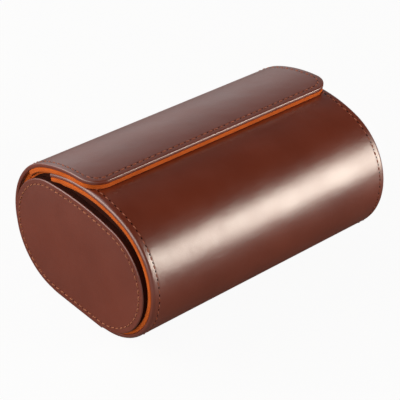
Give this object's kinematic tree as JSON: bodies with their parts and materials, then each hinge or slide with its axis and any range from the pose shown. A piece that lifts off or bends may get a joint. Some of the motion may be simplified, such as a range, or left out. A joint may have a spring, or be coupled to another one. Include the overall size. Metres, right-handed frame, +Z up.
{
  "type": "watch travel case",
  "caption": "Oval leather travel roll for wristwatches: a folding front wall and a magnetic flap close over removable suede pillows in divided bays.",
  "frame": {"origin": "middle of the flat bottom that the case rests on", "axes": "+X along the roll from the left end cap to the right one, +Y to the back wall, +Z up"},
  "size_m": [0.1526, 0.1, 0.0744],
  "materials": {
    "brown_leather": "smooth, polished",
    "orange_suede": "napped suede",
    "board": "plain",
    "foam": "soft foam",
    "magnet": "plated"
  },
  "bodies": {
    "base": {"base_leather": "brown_leather", "base_board": "board", "base_lining": "orange_suede", "divider_board": "board", "divider_suede_left": "orange_suede", "divider_suede_right": "orange_suede", "front_hinge_strip_left": "orange_suede", "front_hinge_strip_right": "orange_suede", "flap_hinge_strip": "orange_suede", "left_cap_leather": "brown_leather", "left_cap_board": "board", "left_cap_lining": "orange_suede", "left_floor_pad": "orange_suede", "right_cap_leather": "brown_leather", "right_cap_board": "board", "right_cap_lining": "orange_suede", "right_floor_pad": "orange_suede"},
    "front_wall": {"front_leather": "brown_leather", "front_board": "board", "front_lining": "orange_suede", "front_magnet_left": "magnet", "front_magnet_right": "magnet"},
    "flap": {"flap_leather": "brown_leather", "flap_board": "board", "flap_lining": "orange_suede", "flap_magnet_left": "magnet", "flap_magnet_right": "magnet"},
    "left_pillow": {"left_pillow_cover": "orange_suede", "left_pillow_core": "foam", "left_pillow_end_left": "orange_suede", "left_pillow_end_right": "orange_suede"},
    "right_pillow": {"right_pillow_cover": "orange_suede", "right_pillow_core": "foam", "right_pillow_end_left": "orange_suede", "right_pillow_end_right": "orange_suede"}
  },
  "joints": [
    {"name": "flap_hinge", "type": "hinge", "parent": "base", "child": "flap", "pos_m": [0, 0.04311, 0.05571], "axis": [-1, 0, 0], "range_deg": [0, 160]},
    {"name": "front_wall_hinge", "type": "hinge", "parent": "base", "child": "front_wall", "pos_m": [0, -0.03768, 0.00807], "axis": [1, 0, 0], "range_deg": [0, 77]},
    {"name": "left_pillow_lift", "type": "slide", "parent": "base", "child": "left_pillow", "axis": [0, 0, 1], "range_m": [0, 0.064]},
    {"name": "right_pillow_lift", "type": "slide", "parent": "base", "child": "right_pillow", "axis": [0, 0, 1], "range_m": [0, 0.064]}
  ],
  "couplings": [
    {"joint": "front_wall_hinge", "follows": "flap_hinge", "ratio": 0.48},
    {"joint": "left_pillow_lift", "follows": "flap_hinge", "m_per_rad": 0.0229},
    {"joint": "right_pillow_lift", "follows": "flap_hinge", "m_per_rad": 0.0229}
  ]
}
